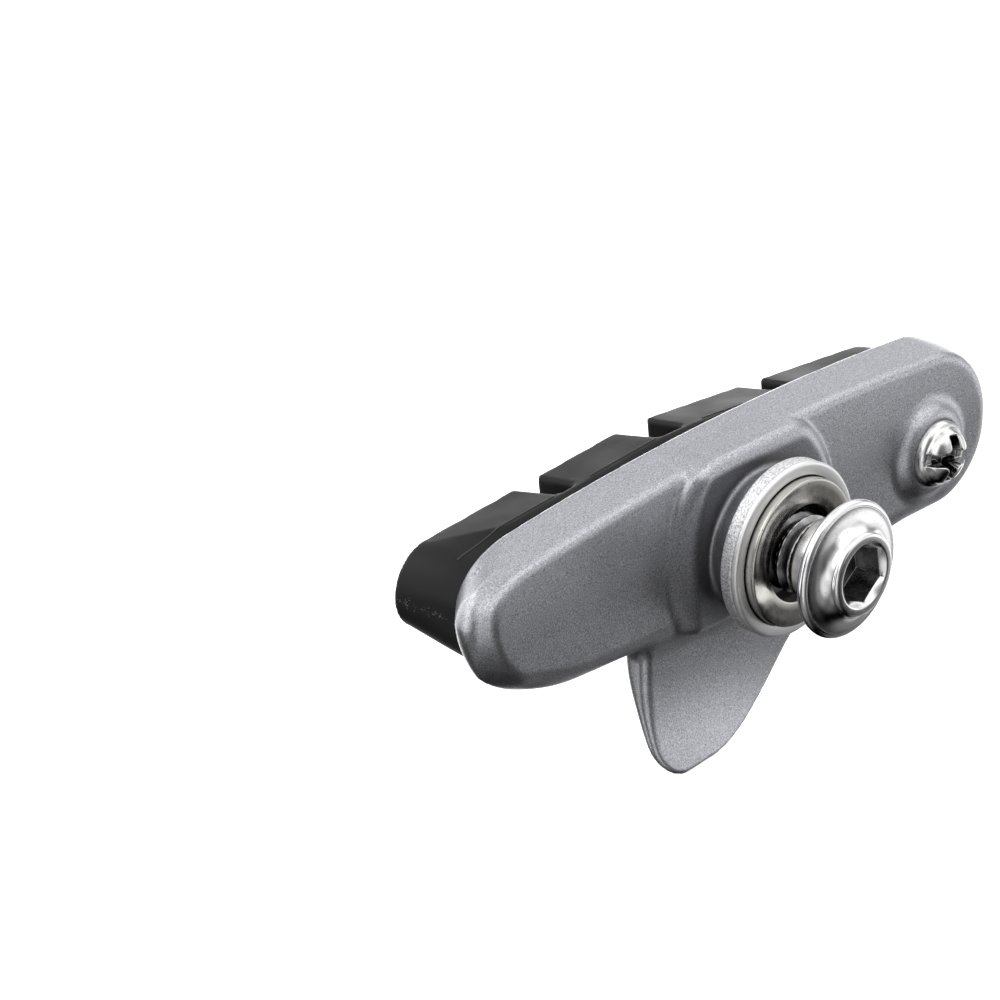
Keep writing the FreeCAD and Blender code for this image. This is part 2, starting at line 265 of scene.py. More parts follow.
# %% Shell
ARM_TO_RIM_FACE = 15.6
GROUND_Y = ARM_TO_RIM_FACE - 0.05
RIM_Y = 9.7
WIDEST_Y = 7.6
BACK_Y = 5.1
FLOOR_Y = 7.4
CREST_X = 4.0
CREST_Z = 7.68
CREST_RADIUS = 235.0
BOTTOM_Z = -6.1
NOSE_X = -29.8
NOSE_Y = 7.1
NOSE_RADIUS = 1.75
TAIL_X = 28.34
TOP_SLOPE = 0.11
BEVEL_X = 0.65
BEVEL_Y = 0.76
BACK_CROWN = 0.011
RIM_EDGE_RADIUS = 0.35


def arched_top(x, z, crest):
    """Distance above the long arc that crowns the shoe."""
    return np.hypot(x - CREST_X, z - crest + CREST_RADIUS) - CREST_RADIUS


def outline(top, right, bottom, left, radii):
    """Four walls, rounded where they meet: top right, bottom right, bottom left, top left."""
    corners = [
        round_both(top, right, radii[0]),
        round_both(bottom, right, radii[1]),
        round_both(bottom, left, radii[2]),
        round_both(top, left, radii[3]),
    ]
    return np.maximum(np.maximum(corners[0], corners[1]), np.maximum(corners[2], corners[3]))


def shell(x, y, z):
    """The cast bar that carries the rubber, before its channel is cut."""
    back = np.clip(WIDEST_Y - y, 0.0, 3.5)
    rim = np.clip(y - WIDEST_Y, 0.0, 3.0)
    top = arched_top(x, z, CREST_Z) + TOP_SLOPE * (RIM_Y - y)
    rise = 0.0013 * np.minimum(x - 2.0, 0.0) ** 2
    bottom = BOTTOM_Z + rise - z + 0.10 * back ** 2 + 0.3 * rim ** 1.5
    left_back = BEVEL_X * (NOSE_X - x) + BEVEL_Y * (NOSE_Y - y)
    left_rim = 0.64 * (NOSE_X - x) + 0.768 * (y - NOSE_Y)
    left = round_bent(left_back, left_rim, NOSE_RADIUS, -0.168)
    right = x - TAIL_X + 0.13 * back ** 2 + 0.12 * rim ** 2
    deep = np.clip(WIDEST_Y - y, 0.0, 2.5)
    radii = (5.4, 5.2, 7.4 - 0.35 * deep, 3.4 - 0.3 * deep)
    sides = outline(top, right, bottom, left, radii)
    # end is 1 on the bevel at the closed end and 0 elsewhere
    end = ramp(left - np.maximum(top, bottom), -2.5, 0.5)
    edge_radius = 1.5 - 0.75 * ramp(z, -5.0, 1.0)
    back_face = BACK_Y + BACK_CROWN * np.maximum(z, 0.0) ** 2 - y
    lean = 0.12 + 0.15 * ramp(z, 0.0, 6.0)
    alike = lean + (BEVEL_Y - lean) * end
    body = round_bent(sides, back_face, edge_radius + 0.4 * end, alike)
    return round_bent(body, y - RIM_Y, RIM_EDGE_RADIUS, 0.6 * end)


# %% [markdown]
# ## Boss, screw seat and fin
# The boss that carries the bolt is a low pad on the shell's back with a round neck on it. The
# pad slopes up gently on the closed side, ends in an arc on the other, and the shell's sloping
# top runs out over it. Round the small screw the metal swells softly. The fin is a bent sheet,
# thick at its root, trimmed to a swept outline.

# %% Boss for the bolt, swelling for the screw
RING_RADIUS = 6.7
RING_FRONT = 0.77
RING_BACK = 2.3
PAD_RISE = 0.75
PAD_RADIUS = 9.3
NECK_RADIUS = 5.3
SCREW_X = 20.6
SCREW_Z = -0.4


def boss_pad(x, y, z):
    """The low pad under the boss, before it is blended into the shell."""
    out = np.maximum(BACK_Y - y, 0.0)
    face = BACK_Y - PAD_RISE - y
    bow = -6.9 + 0.028 * (z + 1.0) ** 2
    slope = 0.30 * (bow - x) + 0.954 * face
    top = (z - 7.35 + 0.35 * out) * 0.94
    bottom = -5.9 - z
    body = round_both(slope, face, 0.12)
    body = round_both(body, (np.hypot(x, z) - PAD_RADIUS + 0.5 * out) * 0.9, 0.7)
    body = round_both(body, top, 0.9)
    body = round_both(body, bottom, 0.9)
    return np.maximum(body, y - WIDEST_Y)


def boss_neck(x, y, z):
    """The round neck behind the turned ring, thinner than the ring."""
    return np.maximum(np.hypot(x, z) - NECK_RADIUS, np.maximum(RING_BACK - 0.3 - y, y - WIDEST_Y))


def screw_swelling(x, y, z):
    """Soft collar round the small screw."""
    radius = np.hypot(x - SCREW_X, z - SCREW_Z)
    return round_both(radius - 3.4, BACK_Y - 0.85 - y, 0.7)


# %% Fin
FIN_FRONT = -10.2
FIN_BOTTOM = -16.45
FIN_ROOT_Y = 7.5
HEEL_X = -4.5
HEEL_RADIUS = 14.0


def below_line(x, z, start, end):
    """Distance below a line through two points, with the fin's metal above it."""
    run = end[0] - start[0]
    climb = end[1] - start[1]
    length = math.hypot(run, climb)
    return ((x - start[0]) * climb - (z - start[1]) * run) / length


def fin(x, y, z):
    """Wheel guide: a sheet that bends away from the rim towards its front lower corner."""
    below = np.maximum(-7.0 - z, 0.0)
    along = np.clip((x + 12.0) / 28.0, 0.0, 1.0)
    bend = 0.033 * (1.0 + np.cos(np.pi * along)) / 2.0
    middle = FIN_ROOT_Y - bend * below ** 2
    half = 1.15 - 0.7 * ramp(-z, 6.0, 16.0)
    tilt = 1.0 / np.sqrt(1.0 + (2.0 * bend * below) ** 2)
    sheet = (np.abs(y - middle) - half) * tilt
    round_heel = np.hypot(x - HEEL_X, z - FIN_BOTTOM - HEEL_RADIUS) - HEEL_RADIUS
    heel = np.where(x < HEEL_X, FIN_BOTTOM - z, round_heel)
    rear = np.maximum(below_line(x, z, (8.5, -10.0), (17.0, -5.5)), -x)
    edge = -round_bent(-heel, -rear, 10.0, 0.93)
    edge = round_both(edge, FIN_FRONT - x, 2.6)
    edge = np.maximum(edge, z + 5.0)
    corner = 0.42 + 0.35 * ramp(-x, 4.0, 8.5)
    return round_both(sheet, edge, np.minimum(corner, half))


# %% [markdown]
# ## The holder as one casting
# Shell, boss, swelling and fin are blended, then the channel for the rubber, the cup for the
# washer and the two threaded holes are cut. The channel stays open at the right end, where
# the rubber slides in.

# %% Cuts
CHANNEL_CREST = 6.45
CHANNEL_BOTTOM = -3.1
CHANNEL_LEFT = -26.55
INSERT_LEFT = -26.8
INSERT_RIGHT = 28.2
BALL_RADIUS = 9.0
BALL_Y = 1.0 - math.sqrt(BALL_RADIUS ** 2 - 5.65 ** 2)


def channel_outline(x, z, growth, right):
    """Outline of the channel, grown by a margin but not towards its open end."""
    top = arched_top(x, z, CHANNEL_CREST + growth)
    bottom = CHANNEL_BOTTOM - growth - z
    left = CHANNEL_LEFT - growth - x
    return outline(top, x - right, bottom, left, (6.0, 3.0, 3.0, 2.4))


def cuts(x, y, z):
    """Everything that is cut out of the casting."""
    mouth = np.maximum(channel_outline(x, z, 0.0, 40.0), FLOOR_Y - y)
    groove_depth = np.maximum(FLOOR_Y - y, y - FLOOR_Y - 1.2)
    groove = np.maximum(channel_outline(x, z, 0.5, 40.0), groove_depth)
    cup = np.sqrt(x * x + (y - BALL_Y) ** 2 + z * z) - BALL_RADIUS - 0.03
    bolt_hole = np.hypot(x, z) - 3.04
    screw_radius = np.hypot(x - SCREW_X, z - SCREW_Z)
    screw_hole = screw_radius - 1.54
    seat = round_both(screw_radius - 2.45, y - BACK_Y + 0.55, 0.1)
    cut = np.minimum(mouth, groove)
    cut = np.minimum(cut, cup)
    cut = np.minimum(cut, bolt_hole)
    cut = np.minimum(cut, seat)
    return np.minimum(cut, screw_hole)


def casting(x, y, z):
    """The whole holder."""
    body = soft_either(shell(x, y, z), screw_swelling(x, y, z), 1.1)
    body = soft_either(body, boss_pad(x, y, z), 0.4)
    body = round_either(body, boss_neck(x, y, z), 0.4)
    body = soft_either(body, fin(x, y, z), 1.6)
    return round_both(body, -cuts(x, y, z), 0.12)


CASTING_STEP = 0.22
points, quads = skin(casting, (-30.0, 1.4, -17.4), (29.2, 10.4, 9.0), CASTING_STEP)
add_piece("holder_casting", points, quads, "shoe_holder", "holder_finish")

# %% [markdown]
# ## Turned parts
# The ring on the boss, the washer and the bolt are turned on a lathe, so each is a profile
# spun about the bolt axis. A profile is a list of radius and y, with arcs where the tool left
# a rounded edge.

# %% Spin a profile
SPOKES = 192


def arc(centre, radius, start, end, count=8):
    """Points on an arc in (radius, y), angles in degrees from outward towards +y."""
    angles = np.radians(np.linspace(start, end, count))
    return [
        (centre[0] + radius * math.cos(a), centre[1] + radius * math.sin(a)) for a in angles
    ]


def spin(profile, closed=False, shape=None):
    """Points and quads of a profile turned about Y; shape may change a ring's radius by angle."""
    angles = np.arange(SPOKES) * 2.0 * np.pi / SPOKES
    rings = []
    for row, (radius, y) in enumerate(profile):
        reach = np.full(SPOKES, radius)
        if shape is not None:
            reach = shape(row, reach, angles)
        height = np.full(SPOKES, y)
        rings.append(np.stack([reach * np.cos(angles), height, reach * np.sin(angles)], axis=1))
    points = np.concatenate(rings)
    quads = []
    last = len(profile) if closed else len(profile) - 1
    for row in range(last):
        below = row * SPOKES
        above = ((row + 1) % len(profile)) * SPOKES
        for i in range(SPOKES):
            j = (i + 1) % SPOKES
            quads.append((below + i, above + i, above + j, below + j))
    return points, quads


# %% Boss ring and washer
ring_profile = (
    [(5.2, RING_BACK - 0.2), (5.69, RING_FRONT + 0.9), (5.7, RING_FRONT + 0.08)]
    + arc((5.78, RING_FRONT + 0.08), 0.08, 180, 270, 5)
    + arc((RING_RADIUS - 0.28, RING_FRONT + 0.28), 0.28, 270, 350, 7)
    + [(RING_RADIUS - 0.03, RING_FRONT + 0.45), (RING_RADIUS - 0.1, RING_FRONT + 0.52)]
    + arc((RING_RADIUS - 0.16, RING_FRONT + 0.66), 0.12, 300, 360, 4)
    + [(RING_RADIUS - 0.02, RING_BACK - 0.2)]
    + arc((RING_RADIUS - 0.22, RING_BACK - 0.2), 0.2, 10, 80, 6)
    + [(5.6, RING_BACK + 0.1), (5.3, RING_BACK + 0.2)]
)
points, quads = spin(ring_profile, closed=True)
add_piece("boss_ring", points, quads, "shoe_holder", "holder_finish")


def washer_back(radius):
    """Height of the washer's ball-shaped back at a radius."""
    return BALL_Y + math.sqrt(BALL_RADIUS ** 2 - radius ** 2)


washer_profile = (
    [(3.7, 0.15)]
    + arc((3.85, 0.15), 0.15, 180, 270, 4)
    + [(4.4, 0.0), (5.0, 0.0)]
    + arc((5.47, 0.18), 0.18, 270, 360, 6)
    + [(5.65, washer_back(5.65) - 0.05)]
    + [(r, washer_back(r)) for r in np.linspace(5.6, 3.8, 8)]
    + [(3.7, washer_back(3.7) - 0.1)]
)
points, quads = spin(washer_profile, closed=True)
add_piece("washer", points, quads, "convex_washer", "washer_steel")

# %% [markdown]
# ## The bolt
# Its head is a thin flange with a rounded rim, then a hollow sweep up to a raised collar
# round the hexagon socket. Behind the flange comes a plain shoulder, then the thread. The
# socket is part of the same spun skin: below the collar the rings change from round to
# hexagonal, with a point at each of the six corners.

# %% Bolt head
SHOULDER_RADIUS = 3.25
THREAD_RADIUS = 3.0
THREAD_START = -1.5
FLANGE_BACK = -3.6
FLANGE_FRONT = -4.4
FLANGE_RADIUS = 5.25
COLLAR_FRONT = -5.8
HEX_FLATS = 4.0
SOCKET_FLOOR = -3.2

head_profile = (
    [(0.0, THREAD_START + 1.0), (2.6, THREAD_START + 1.0), (2.62, THREAD_START + 0.3)]
    + [(SHOULDER_RADIUS - 0.25, THREAD_START + 0.05)]
    + arc((SHOULDER_RADIUS - 0.2, THREAD_START - 0.15), 0.2, 90, 0, 5)
    + [(SHOULDER_RADIUS, FLANGE_BACK + 0.5)]
    + arc((SHOULDER_RADIUS + 0.35, FLANGE_BACK + 0.35), 0.35, 180, 270, 6)
    + [(4.4, FLANGE_BACK)]
    + arc((FLANGE_RADIUS - 0.4, FLANGE_BACK - 0.4), 0.4, 90, -88, 20)
    + arc((FLANGE_RADIUS - 0.42, FLANGE_FRONT - 1.85), 1.85, 88, 153, 22)
    + arc((2.9, COLLAR_FRONT + 0.32), 0.32, -10, -90, 8)
    + [(2.62, COLLAR_FRONT)]
    + arc((2.55, COLLAR_FRONT + 0.1), 0.1, 270, 200, 3)
)
socket_rows = len(head_profile)
head_profile += [
    (HEX_FLATS / 2.0, COLLAR_FRONT + 0.32),
    (HEX_FLATS / 2.0, COLLAR_FRONT + 0.42),
    (HEX_FLATS / 2.0, SOCKET_FLOOR - 0.06),
    (HEX_FLATS / 2.0 - 0.06, SOCKET_FLOOR),
]
cone_row = len(head_profile)
head_profile += [(1.75, SOCKET_FLOOR), (1.0, SOCKET_FLOOR + 0.4), (0.0, SOCKET_FLOOR + 0.8)]


def socket_shape(row, reach, angles):
    """Round rings above the socket, hexagonal rings in it."""
    if row < socket_rows or row >= cone_row:
        return reach
    corner_turn = np.pi / 3.0
    off_flat = (angles + HEX_TURN) % corner_turn - corner_turn / 2.0
    hexagon = reach / np.cos(off_flat)
    if row == socket_rows:
        return np.minimum(hexagon, 2.32) + 0.02
    return hexagon


HEX_TURN = math.radians(22.5)
points, quads = spin(head_profile, shape=socket_shape)
add_piece("bolt_head", points, quads, "mounting_bolt", "bolt_plating")

# %% [markdown]
# ## The bolt's thread
# A thread is one shape repeated along a helix, which is a job for Geometry Nodes: a flat grid
# is rolled round the axis, and each point's radius follows its place along the pitch. The
# sizes are inputs, so the same tree could cut any thread.

# %% Helpers for node trees
def link(tree, start, end):
    """Joins an output socket to an input socket."""
    tree.links.new(start, end)


def feed(tree, socket, value):
    """Gives an input socket a value, or joins it to an output socket."""
    if isinstance(value, bpy.types.NodeSocket):
        link(tree, value, socket)
    else:
        socket.default_value = value


def feed_all(tree, node, **values):
    """Feeds a node's inputs by name; an underscore in a name stands for a space."""
    for label, value in values.items():
        feed(tree, node.inputs[label.replace("_", " ")], value)


def add_node(tree, kind, **values):
    """A new node with its inputs fed by name."""
    node = tree.nodes.new(kind)
    feed_all(tree, node, **values)
    return node


def calculate(tree, operation, *values, clamp=False):
    """A Math node; each value is a number or a socket."""
    node = tree.nodes.new("ShaderNodeMath")
    node.operation = operation
    node.use_clamp = clamp
    for socket, value in zip(node.inputs, values):
        feed(tree, socket, value)
    return node.outputs[0]


def new_geometry_tree(name, inputs):
    """A Geometry Nodes tree with named number inputs; returns the tree and its group input."""
    tree = bpy.data.node_groups.new(name, "GeometryNodeTree")
    tree.interface.new_socket("Geometry", in_out="INPUT", socket_type="NodeSocketGeometry")
    for label, value, kind in inputs:
        socket = tree.interface.new_socket(label, in_out="INPUT", socket_type=kind)
        if value is not None:
            socket.default_value = value
    tree.interface.new_socket("Geometry", in_out="OUTPUT", socket_type="NodeSocketGeometry")
    return tree, tree.nodes.new("NodeGroupInput")


def finish_tree(tree, group, geometry):
    """Realize, set the material and hand the result out."""
    real = add_node(tree, "GeometryNodeRealizeInstances", Geometry=geometry)
    paint = add_node(tree, "GeometryNodeSetMaterial",
                     Geometry=real.outputs[0], Material=group.outputs["Material"])
    out = tree.nodes.new("NodeGroupOutput")
    link(tree, paint.outputs[0], out.inputs[0])


def grow(name, tree, settings, base=None):
    """Runs a tree on a base mesh, keeps the result as a plain mesh and drops the modifier."""
    mesh = base or bpy.data.meshes.new(name + "_base")
    carrier = bpy.data.objects.new(name + "_carrier", mesh)
    bpy.context.scene.collection.objects.link(carrier)
    modifier = carrier.modifiers.new(name, "NODES")
    modifier.node_group = tree
    for item in tree.interface.items_tree:
        if item.in_out == "INPUT" and item.name in settings:
            modifier[item.identifier] = settings[item.name]
    bpy.context.view_layer.update()
    ready = carrier.evaluated_get(bpy.context.evaluated_depsgraph_get())
    result = bpy.data.meshes.new_from_object(ready)
    result.name = name
    carrier.modifiers.remove(modifier)
    bpy.data.objects.remove(carrier)
    return result


# %% [markdown]
# ## Finishes
# Four finishes cover the part: the holder's fine silver coat, bare aluminium, bright plating
# and moulded rubber, with torn rubber as a fifth. What they share is built once as a group: a
# speckle, which is grain in the coat, pits in the plating and mottle on the rubber, a mask of
# sharp outer edges for wear and painted highlight, and a mask for recesses, where shade is
# painted.

# %% Shared effects
def new_shader_group(name, inputs, outputs):
    """An empty shader group with named number inputs and outputs."""
    group = bpy.data.node_groups.new(name, "ShaderNodeTree")
    for label, value in inputs:
        socket = group.interface.new_socket(label, in_out="INPUT", socket_type="NodeSocketFloat")
        socket.default_value = value
    for label, kind in outputs:
        group.interface.new_socket(label, in_out="OUTPUT", socket_type=kind)
    return group, group.nodes.new("NodeGroupInput"), group.nodes.new("NodeGroupOutput")


def build_speckle():
    """Fine grain in millimetres: a value round 0.5 and a sparse fleck mask."""
    inputs = [("Grain size mm", 0.12), ("Fleck size mm", 0.3), ("Fleck share", 0.3)]
    outputs = [("Grain", "NodeSocketFloat"), ("Flecks", "NodeSocketFloat"),
               ("Cloud", "NodeSocketFloat")]
    group, source, out = new_shader_group("speckle", inputs, outputs)
    place = group.nodes.new("ShaderNodeTexCoord").outputs["Object"]
    noises = []
    for size_input, detail in (("Grain size mm", 2.0), ("Fleck size mm", 1.0)):
        scale = calculate(group, "DIVIDE", 1.0 / MM, source.outputs[size_input])
        noise = add_node(group, "ShaderNodeTexNoise",
                         Vector=place, Scale=scale, Detail=detail, Roughness=0.6)
        noises.append(noise.outputs[0])
    edge = calculate(group, "SUBTRACT", 0.8, source.outputs["Fleck share"])
    over = calculate(group, "SUBTRACT", noises[1], edge)
    flecks = calculate(group, "MULTIPLY", over, 12.0, clamp=True)
    cloud = add_node(group, "ShaderNodeTexNoise", Vector=place, Scale=180.0, Detail=3.0)
    for socket, value in zip(out.inputs, (noises[0], flecks, cloud.outputs[0])):
        link(group, value, socket)
    return group


# Mask of sharp outer edges: worn edges, and on the coat also a painted highlight along the
# ridges.
def build_edge_wear_and_sheen():
    """1 where a surface turns sharply outwards, 0 on flats and in corners."""
    inputs = [("Start", 0.52), ("Gain", 6.0)]
    group, source, out = new_shader_group("edge_wear_and_sheen", inputs, [("Wear_and_sheen", "NodeSocketFloat")])
    shape = group.nodes.new("ShaderNodeNewGeometry")
    over = calculate(group, "SUBTRACT", shape.outputs["Pointiness"], source.outputs["Start"])
    wear = calculate(group, "MULTIPLY", over, source.outputs["Gain"], clamp=True)
    link(group, wear, out.inputs[0])
    return group


# Mask for painted shade: the finishes darken their colour where it is low, in recesses and gaps.
def build_painted_shade_mask():
    """1 on open surfaces, towards 0 deep in sockets, slots and gaps."""
    inputs = [("Reach mm", 1.5), ("Start", 0.3), ("Gain", 1.6)]
    group, source, out = new_shader_group("recess", inputs, [("Open", "NodeSocketFloat")])
    reach = calculate(group, "MULTIPLY", source.outputs["Reach mm"], MM)
    hollow = add_node(group, "ShaderNodeAmbientOcclusion", Distance=reach)
    hollow.samples = 8
    over = calculate(group, "SUBTRACT", hollow.outputs["AO"], source.outputs["Start"])
    opened = calculate(group, "MULTIPLY", over, source.outputs["Gain"], clamp=True)
    link(group, opened, out.inputs[0])
    return group


SPECKLE = build_speckle()
EDGE_WEAR_AND_SHEEN = build_edge_wear_and_sheen()
PAINTED_SHADE_MASK = build_painted_shade_mask()


def place_group(tree, group, **values):
    """Puts a shared group into a material with its own values."""
    node = tree.nodes.new("ShaderNodeGroup")
    node.node_tree = group
    feed_all(tree, node, **values)
    return node


def mix_colour(tree, share, first, second):
    """A colour between two; each is three numbers or a socket, and the share is a socket."""
    node = tree.nodes.new("ShaderNodeMix")
    node.data_type = "RGBA"
    for label, colour in (("A", first), ("B", second)):
        full = (*colour, 1.0) if isinstance(colour, tuple) else colour
        feed(tree, node.inputs[label], full)
    link(tree, share, node.inputs["Factor"])
    return next(s for s in node.outputs if s.type == "RGBA")


def remap(tree, value, low, high, start=0.0, end=1.0):
    """Stretches a value from start..end to low..high."""
    node = add_node(tree, "ShaderNodeMapRange", Value=value, From_Min=start, From_Max=end,
                    To_Min=low, To_Max=high)
    return node.outputs[0]


def beyond_y(tree, start, end):
    """0 up to y = start and 1 from y = end, both in millimetres."""
    place = tree.nodes.new("ShaderNodeTexCoord").outputs["Object"]
    parts = add_node(tree, "ShaderNodeSeparateXYZ", Vector=place)
    return remap(tree, parts.outputs["Y"], 0.0, 1.0, start * MM, end * MM)


def add_bump(tree, shader, height, distance_mm, strength):
    """Relief from a height, in millimetres."""
    bump = add_node(tree, "ShaderNodeBump",
                    Height=height, Distance=distance_mm * MM, Strength=strength)
    link(tree, bump.outputs[0], shader.inputs["Normal"])


def new_material(name):
    """A node material with its Principled shader."""
    material = bpy.data.materials.new(name)
    material.use_nodes = True
    tree = material.node_tree
    shader = next(n for n in tree.nodes if n.type == "BSDF_PRINCIPLED")
    return material, tree, shader


# %% Holder coat
def holder_coat():
    """Silver-grey metallic coat over a blasted casting."""
    material, tree, shader = new_material("holder_coat")
    speckle = place_group(tree, SPECKLE, Grain_size_mm=0.095, Fleck_size_mm=0.35, Fleck_share=0.2)
    shade = remap(tree, speckle.outputs["Grain"], 0.0, 1.0, 0.3, 0.7)
    grain = mix_colour(tree, shade, (0.22, 0.222, 0.238), (0.66, 0.666, 0.716))
    recess = place_group(tree, PAINTED_SHADE_MASK, Reach_mm=5.0, Start=0.4, Gain=2.1)
    wear = place_group(tree, EDGE_WEAR_AND_SHEEN, Start=0.52, Gain=5.0)
    # Painted shade: the coat goes dark where the recess mask is low, by the ring, the fin root
    # and the screw collar.
    coat_with_painted_shade = mix_colour(tree, recess.outputs["Open"], (0.13, 0.13, 0.137), grain)
    # Sharp outer edges are painted lighter: partly paint worn thin, partly a painted highlight
    # along the ridges.
    worn = calculate(tree, "MULTIPLY", wear.outputs["Wear_and_sheen"], 0.35)
    feed_all(tree, shader, Base_Color=mix_colour(tree, worn, coat_with_painted_shade, (0.74, 0.745, 0.77)),
             Metallic=0.92,
             Roughness=remap(tree, speckle.outputs["Cloud"], 0.30, 0.37, 0.35, 0.65))
    add_bump(tree, shader, speckle.outputs["Grain"], 0.02, 0.6)
    return material


# %% Bare aluminium
def bare_aluminium():
    """Aluminium of the ring: its front is turned smooth, its side is left rough and sparkles."""
    material, tree, shader = new_material("bare_aluminium")
    speckle = place_group(tree, SPECKLE, Grain_size_mm=0.13, Fleck_size_mm=0.16, Fleck_share=0.3)
    side = beyond_y(tree, RING_FRONT + 0.18, RING_FRONT + 0.48)
    shade = calculate(tree, "MULTIPLY", speckle.outputs["Flecks"], side)
    feed_all(tree, shader, Metallic=0.9,
             Base_Color=mix_colour(tree, shade, (0.86, 0.86, 0.87), (0.55, 0.55, 0.57)),
             Roughness=remap(tree, speckle.outputs["Grain"], 0.34, 0.5, 0.3, 0.7))
    relief = calculate(tree, "MULTIPLY_ADD", side, 0.85, 0.15)
    height = calculate(tree, "MULTIPLY", speckle.outputs["Grain"], relief)
    add_bump(tree, shader, height, 0.07, 0.9)
    return material


# %% Bright plating and nickel
def plating(name, light, dark, rough_low, rough_high, reach):
    """Plated steel: smooth, with faint specks, and painted shade deep in its recesses."""
    material, tree, shader = new_material(name)
    speckle = place_group(tree, SPECKLE, Grain_size_mm=0.5, Fleck_size_mm=0.25, Fleck_share=0.14)
    # Painted shade: the colour goes near black deep in the hex socket, the cross, the thread and
    # the washer's hole.
    recess = place_group(tree, PAINTED_SHADE_MASK, Reach_mm=reach, Start=0.3, Gain=1.8)
    bright = mix_colour(tree, speckle.outputs["Flecks"], light, dark)
    feed_all(tree, shader, Metallic=1.0,
             Base_Color=mix_colour(tree, recess.outputs["Open"], (0.035, 0.034, 0.033), bright),
             Roughness=remap(tree, speckle.outputs["Grain"], rough_low, rough_high, 0.3, 0.7))
    add_bump(tree, shader, speckle.outputs["Grain"], 0.004, 0.5)
    return material


# %% Rubber
def pad_rubber(name, fresh, worn):
    """Black moulded rubber: satin, faintly mottled, greyer along its edges."""
    material, tree, shader = new_material(name)
    speckle = place_group(tree, SPECKLE, Grain_size_mm=0.2, Fleck_size_mm=0.18, Fleck_share=0.2)
    wear = place_group(tree, EDGE_WEAR_AND_SHEEN, Start=0.53, Gain=5.0)
    face = beyond_y(tree, GROUND_Y - 0.06, GROUND_Y - 0.03)
    place = tree.nodes.new("ShaderNodeTexCoord").outputs["Object"]
    stretch = add_node(tree, "ShaderNodeMapping", Vector=place, Scale=(0.12, 1.0, 1.0))
    scratches = add_node(tree, "ShaderNodeTexNoise",
                         Vector=stretch.outputs[0], Scale=5000.0, Detail=3.0)
    satin = remap(tree, speckle.outputs["Cloud"], 0.42, 0.55, 0.35, 0.65)
    feed_all(tree, shader, Specular_IOR_Level=0.15,
             Base_Color=mix_colour(tree, wear.outputs["Wear_and_sheen"], fresh, worn),
             Roughness=calculate(tree, "MULTIPLY_ADD", face, 0.25, satin))
    moulded = calculate(tree, "MULTIPLY", speckle.outputs["Grain"], 0.3)
    torn = calculate(tree, "MULTIPLY", face, scratches.outputs[0])
    add_bump(tree, shader, calculate(tree, "ADD", moulded, torn), 0.04, 0.5)
    return material


# %% Torn fibre
def torn_fibre():
    """Pale dry crumbs and fibres of rubber."""
    material, tree, shader = new_material("torn_fibre")
    speckle = place_group(tree, SPECKLE, Grain_size_mm=0.3, Fleck_size_mm=0.3, Fleck_share=0.3)
    colour = mix_colour(tree, speckle.outputs["Grain"], (0.06, 0.06, 0.06), (0.38, 0.38, 0.37))
    feed_all(tree, shader, Base_Color=colour, Roughness=0.8)
    return material


MATERIALS = {
    "torn_fibre": torn_fibre(),
    "holder_coat": holder_coat(),
    "bare_aluminium": bare_aluminium(),
    "bolt_chrome": plating(
        "bolt_chrome", (0.86, 0.86, 0.87), (0.6, 0.6, 0.61), 0.13, 0.2, 4.0),
    "screw_chrome": plating(
        "screw_chrome", (0.74, 0.74, 0.735), (0.4, 0.4, 0.4), 0.13, 0.2, 2.0),
    "washer_nickel": plating(
        "washer_nickel", (0.5, 0.49, 0.46), (0.25, 0.24, 0.22), 0.16, 0.24, 0.35),
    "pad_rubber": pad_rubber("pad_rubber", (0.012, 0.012, 0.0128), (0.03, 0.03, 0.031)),
    # The beads' rubber is painted lighter than the pad: a painted highlight for the light the
    # thin bead catches.
    "bead_rubber_painted_highlight": pad_rubber("bead_rubber_painted_highlight", (0.05, 0.05, 0.052), (0.07, 0.07, 0.072)),
}
print("materials", list(MATERIALS))

